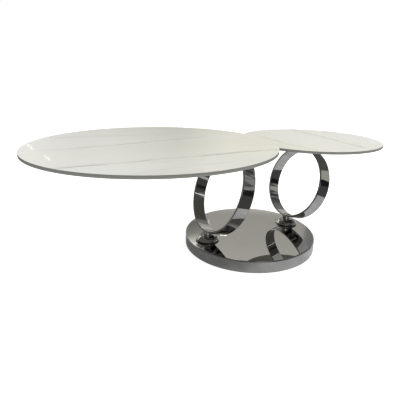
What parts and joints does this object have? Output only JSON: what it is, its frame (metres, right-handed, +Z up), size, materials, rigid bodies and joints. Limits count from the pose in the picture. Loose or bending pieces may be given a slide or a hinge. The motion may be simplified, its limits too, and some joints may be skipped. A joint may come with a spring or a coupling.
{
  "type": "swivel coffee table",
  "caption": "Low table with round marble-look tops at different heights, each carried off-centre by a leaning polished ring that swivels on a heavy round base.",
  "frame": {"origin": "on the floor under the middle of the base", "axes": "+X from the large top's pivot to the small top's pivot, +Z up"},
  "size_m": [1.3437, 0.8, 0.4286],
  "materials": {
    "polished_steel": "mirror polished stainless steel",
    "ballast_steel": "blackened steel plate",
    "plain_steel": "turned steel",
    "rubber_sheet": "matt rubber",
    "bush_plastic": "natural acetal",
    "black_plastic": "black acetal",
    "clear_adhesive": "cured clear adhesive",
    "tinted_glass": "grey toughened glass, ground edge",
    "marble_ceramic": "polished marble-look porcelain"
  },
  "bodies": {
    "base": {"base_cover": "polished_steel", "base_ballast_plate": "ballast_steel", "floor_pad": "rubber_sheet", "cover_spacers": "plain_steel", "cover_screws": "plain_steel", "large_bearing_tube": "plain_steel", "large_bearing_screws": "plain_steel", "large_upper_bush": "bush_plastic", "large_lower_bush": "bush_plastic", "large_slide_washer": "black_plastic", "large_friction_washer": "black_plastic", "small_bearing_tube": "plain_steel", "small_bearing_screws": "plain_steel", "small_upper_bush": "bush_plastic", "small_lower_bush": "bush_plastic", "small_slide_washer": "black_plastic", "small_friction_washer": "black_plastic"},
    "large_table": {"large_pivot_shaft": "plain_steel", "large_steel_washer": "plain_steel", "large_disc_spring": "plain_steel", "large_lock_nut": "plain_steel", "large_foot": "polished_steel", "large_ring": "polished_steel", "large_top_neck": "polished_steel", "large_top_flange": "polished_steel", "large_flange_screws": "plain_steel", "large_bonded_disc": "plain_steel", "large_adhesive_film": "clear_adhesive", "large_glass_panel": "tinted_glass", "large_ceramic_panel": "marble_ceramic"},
    "small_table": {"small_pivot_shaft": "plain_steel", "small_steel_washer": "plain_steel", "small_disc_spring": "plain_steel", "small_lock_nut": "plain_steel", "small_foot": "polished_steel", "small_ring": "polished_steel", "small_top_neck": "polished_steel", "small_top_flange": "polished_steel", "small_flange_screws": "plain_steel", "small_bonded_disc": "plain_steel", "small_adhesive_film": "clear_adhesive", "small_glass_panel": "tinted_glass", "small_ceramic_panel": "marble_ceramic"}
  },
  "joints": [
    {"name": "large_swivel", "type": "hinge", "parent": "base", "child": "large_table", "pos_m": [-0.1895, 0, 0.045], "axis": [0, 0, 1], "continuous": true},
    {"name": "small_swivel", "type": "hinge", "parent": "base", "child": "small_table", "pos_m": [0.1895, 0, 0.045], "axis": [0, 0, 1], "range_deg": [-70, 70]}
  ]
}
